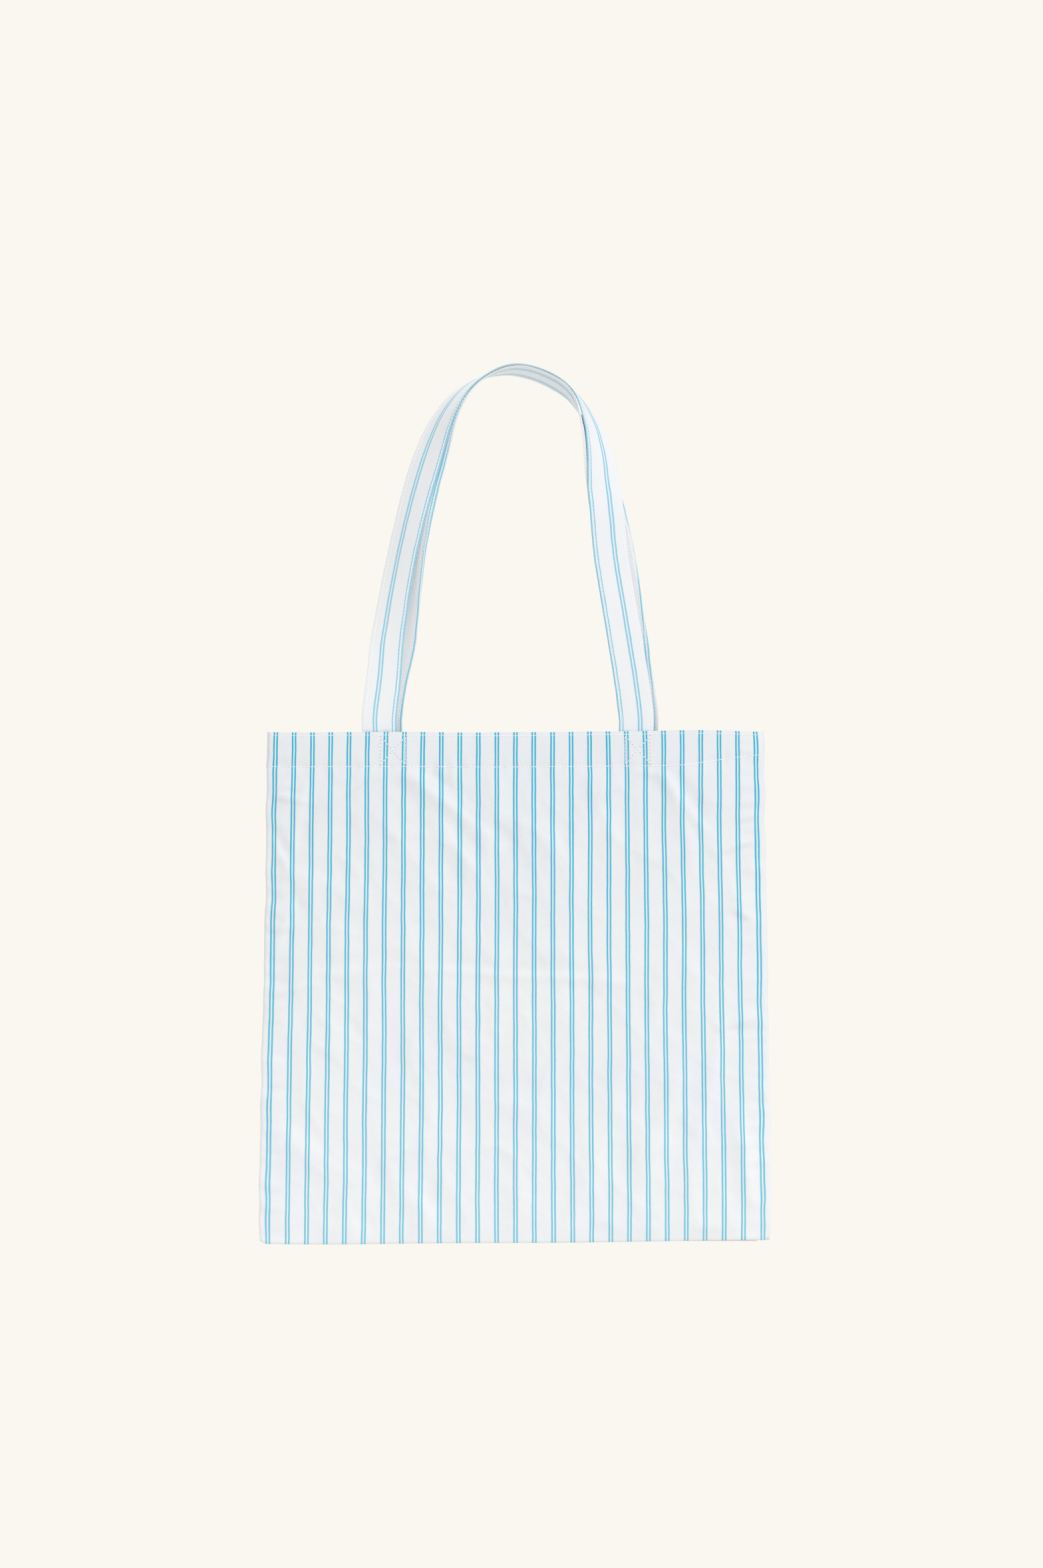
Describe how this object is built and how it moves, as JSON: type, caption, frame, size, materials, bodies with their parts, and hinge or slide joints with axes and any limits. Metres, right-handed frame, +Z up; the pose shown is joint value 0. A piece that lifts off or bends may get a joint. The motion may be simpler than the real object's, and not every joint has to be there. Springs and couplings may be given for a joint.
{
  "type": "tote bag",
  "caption": "Flat canvas tote bag with a hemmed open mouth and two long sewn handles, hanging by the handles.",
  "frame": {"origin": "the hanging point: under the top of the handles' arch, on the bag's middle planes", "axes": "+Z up, from the bag to the handles; +Y from the front panel to the back panel; +X to the right of someone who looks at the front"},
  "size_m": [0.4, 0.0274, 0.6878],
  "materials": {
    "canvas": "plain woven cotton canvas, white with pairs of thin pale blue lines",
    "strap": "folded and edge-stitched straps of the same striped canvas",
    "thread": "spun polyester sewing thread, white"
  },
  "bodies": {
    "seams": {"left_seam": "canvas", "right_seam": "canvas", "bottom_seam": "canvas"},
    "front_body": {"front_panel": "canvas", "front_hem_stitch_upper": "thread", "front_hem_stitch_lower": "thread", "front_left_strap_end": "strap", "front_right_strap_end": "strap", "front_left_box_stitch": "thread", "front_right_box_stitch": "thread"},
    "back_body": {"back_panel": "canvas", "back_hem_stitch_upper": "thread", "back_hem_stitch_lower": "thread", "back_left_strap_end": "strap", "back_right_strap_end": "strap", "back_left_box_stitch": "thread", "back_right_box_stitch": "thread"},
    "front_loop": {"front_handle": "strap", "front_handle_stitch_outer": "thread", "front_handle_stitch_inner": "thread"},
    "back_loop": {"back_handle": "strap", "back_handle_stitch_outer": "thread", "back_handle_stitch_inner": "thread"}
  },
  "joints": [
    {"name": "mouth_front", "type": "hinge", "parent": "seams", "child": "front_body", "pos_m": [0, -0.0014, -0.6814], "axis": [1, 0, 0], "range_deg": [0, 6]},
    {"name": "mouth_back", "type": "hinge", "parent": "seams", "child": "back_body", "pos_m": [0, 0.0014, -0.6814], "axis": [-1, 0, 0], "range_deg": [0, 6]},
    {"name": "front_handle_fold", "type": "hinge", "parent": "front_body", "child": "front_loop", "pos_m": [0, -0.00967, -0.2804], "axis": [1, 0, 0], "range_deg": [0, 170]},
    {"name": "back_handle_fold", "type": "hinge", "parent": "back_body", "child": "back_loop", "pos_m": [0, 0.00967, -0.2804], "axis": [-1, 0, 0], "range_deg": [0, 170]}
  ],
  "couplings": [
    {"joint": "mouth_back", "follows": "mouth_front", "ratio": 1}
  ]
}
